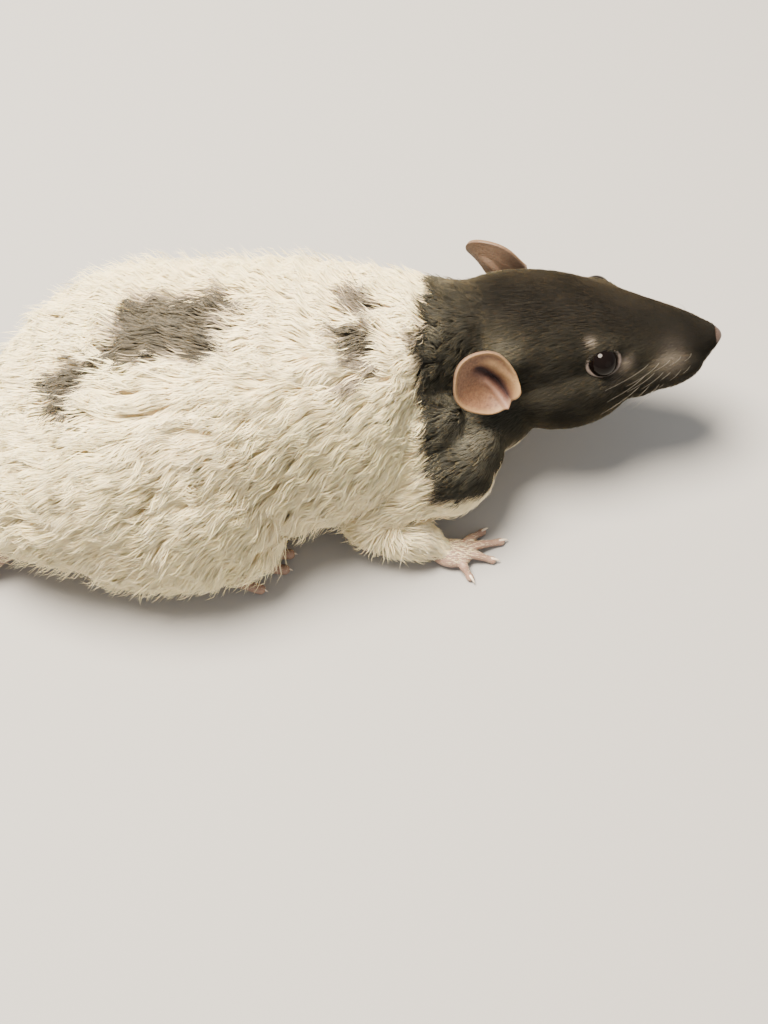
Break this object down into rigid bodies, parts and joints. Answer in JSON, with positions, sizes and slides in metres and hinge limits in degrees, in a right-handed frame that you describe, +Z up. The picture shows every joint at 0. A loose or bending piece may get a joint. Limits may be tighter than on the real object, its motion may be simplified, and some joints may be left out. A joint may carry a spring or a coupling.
{
  "type": "pet rat",
  "caption": "Life-size still model of a plump hooded pet rat with a short wavy coat, crouched on all fours with its head raised and its tail curled on the floor.",
  "frame": {"origin": "the middle of the model's box, on the floor it stands on", "axes": "+X the way the rat faces, +Y its left, +Z up"},
  "size_m": [0.2006, 0.0818, 0.0628],
  "materials": {
    "white_coat": "cream white short wavy fur, matt, with grey spots along the spine",
    "hood_coat": "dark olive grey short sleek fur, with a faint sheen",
    "ear_skin": "thin tan-pink skin with fine down",
    "paw_skin": "pale pink skin with sparse white hairs",
    "tail_skin": "pinkish skin in rings of fine scales with short bristles",
    "dark_eye": "wet, near black, with a sharp highlight"
  },
  "bodies": {
    "root": {"head": "hood_coat", "neck": "hood_coat", "torso": "white_coat", "thigh_left": "white_coat", "thigh_right": "white_coat", "foreleg_left": "white_coat", "foreleg_right": "white_coat", "ear_left": "ear_skin", "ear_right": "ear_skin", "eye_left": "dark_eye", "eye_right": "dark_eye", "forepaw_left": "paw_skin", "forepaw_right": "paw_skin", "hindfoot_left": "paw_skin", "hindfoot_right": "paw_skin", "tail_1": "tail_skin", "tail_2": "tail_skin", "tail_3": "tail_skin", "tail_4": "tail_skin"}
  },
  "joints": []
}
